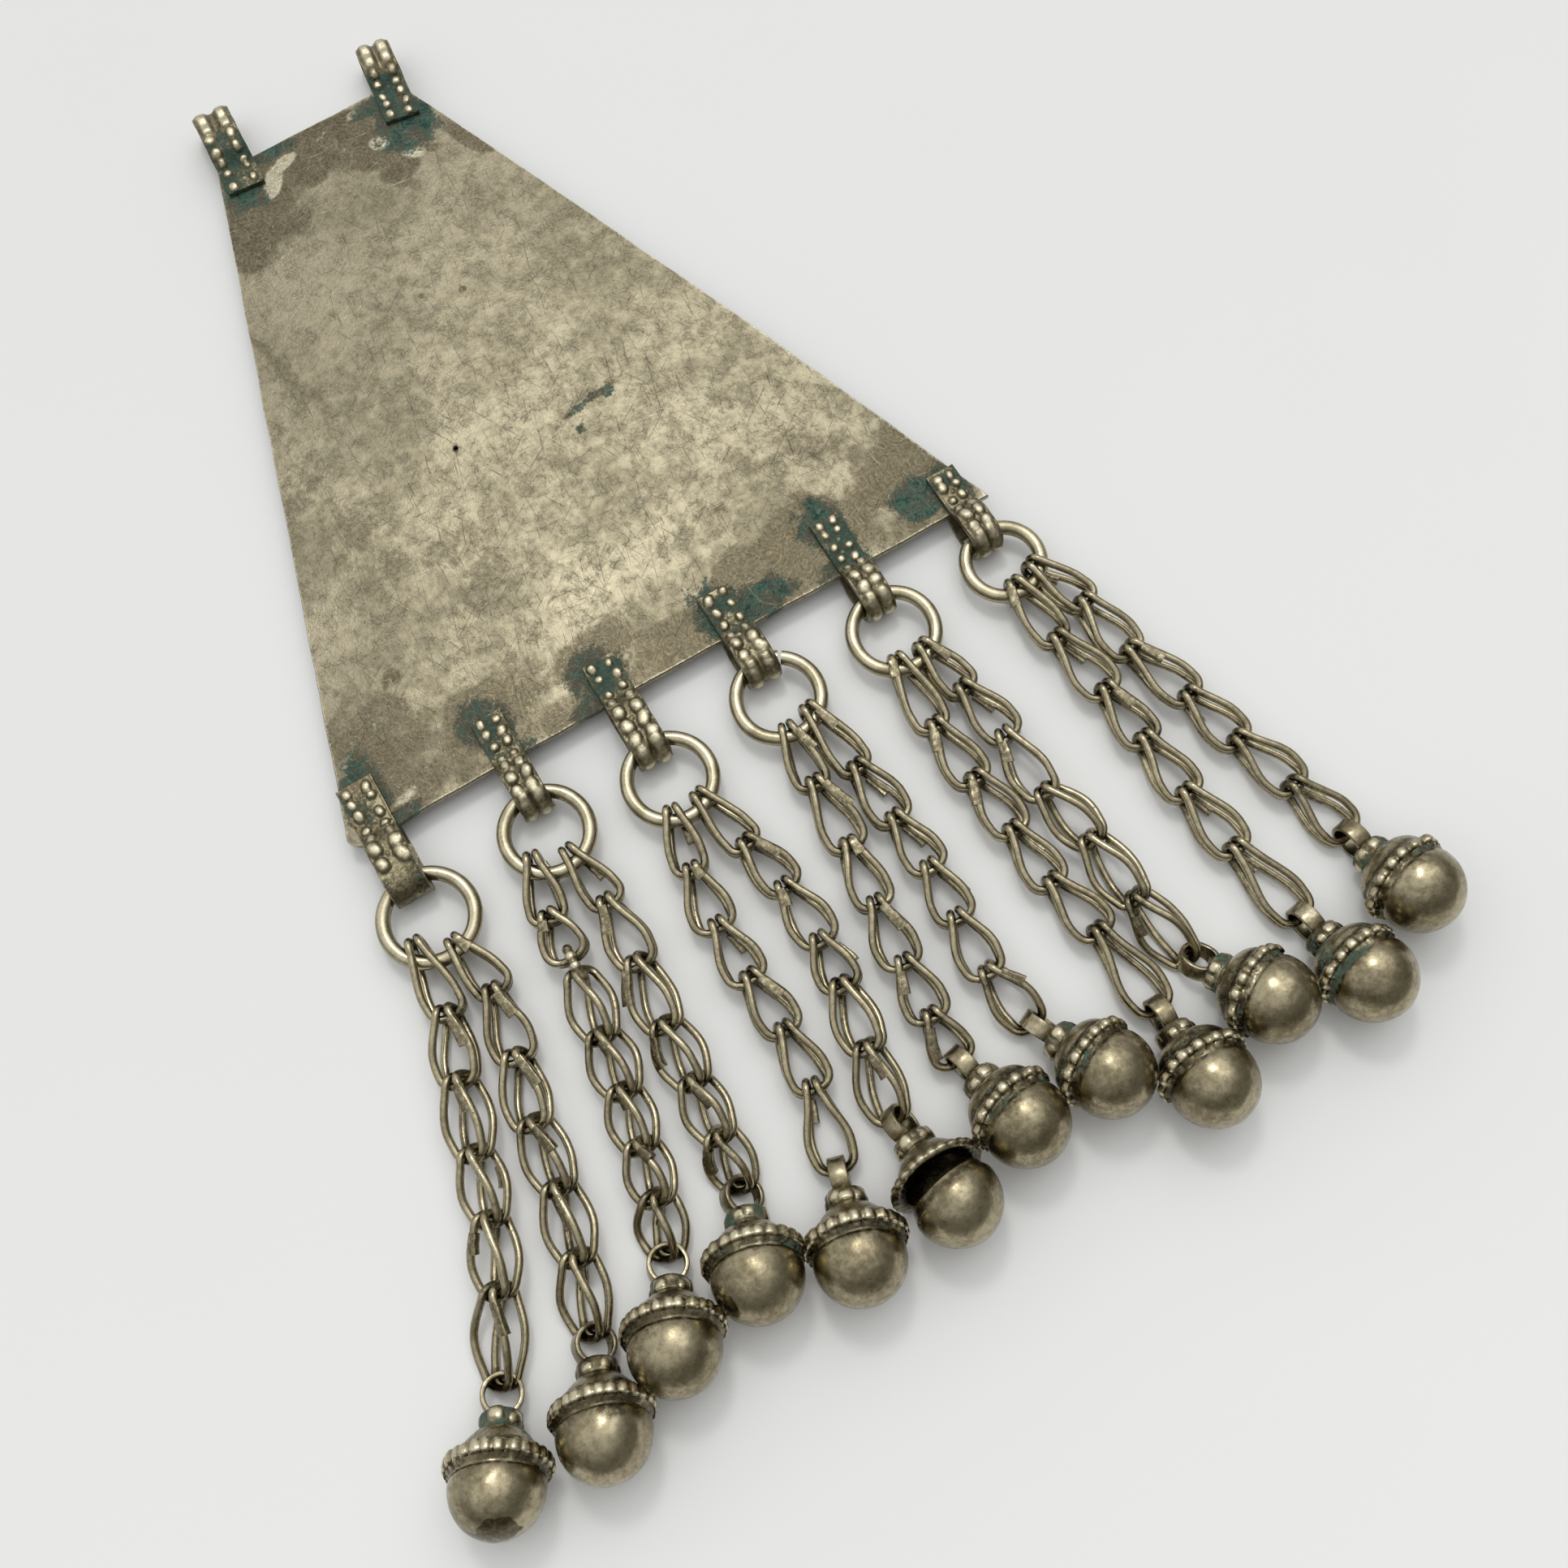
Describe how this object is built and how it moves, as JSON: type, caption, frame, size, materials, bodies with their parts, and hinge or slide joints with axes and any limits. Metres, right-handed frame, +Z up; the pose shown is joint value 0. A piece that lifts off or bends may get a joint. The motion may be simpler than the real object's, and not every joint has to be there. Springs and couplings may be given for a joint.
{
  "type": "silver pendant",
  "caption": "Folk pendant of aged silver lying face down: a trapezoid plate with beaded bails and hangers, rings, wire link chains and round bells",
  "frame": {"origin": "middle of the whole pendant's footprint, on the floor that it lies on", "axes": "+X along the plate's wide edge, +Y from the bells toward the bails, +Z up from the floor, with the plate face down"},
  "size_m": [0.145, 0.206, 0.012],
  "materials": {
    "plate_silver": "worn satin with dark tarnish",
    "ring_silver": "worn satin",
    "chain_silver": "worn satin",
    "bell_silver": "tarnished with verdigris in the seams"
  },
  "bodies": {
    "root": {"plate": "plate_silver", "ring_1": "ring_silver", "ring_2": "ring_silver", "ring_3": "ring_silver", "ring_4": "ring_silver", "ring_5": "ring_silver", "ring_6": "ring_silver", "chain_1": "chain_silver", "chain_2": "chain_silver", "chain_3": "chain_silver", "chain_4": "chain_silver", "chain_5": "chain_silver", "chain_6": "chain_silver", "chain_7": "chain_silver", "chain_8": "chain_silver", "chain_9": "chain_silver", "chain_10": "chain_silver", "chain_11": "chain_silver", "chain_12": "chain_silver", "bell_1": "bell_silver", "bell_2": "bell_silver", "bell_3": "bell_silver", "bell_4": "bell_silver", "bell_5": "bell_silver", "bell_6": "bell_silver", "bell_7": "bell_silver", "bell_8": "bell_silver", "bell_9": "bell_silver", "bell_10": "bell_silver", "bell_11": "bell_silver", "bell_12": "bell_silver"}
  },
  "joints": []
}
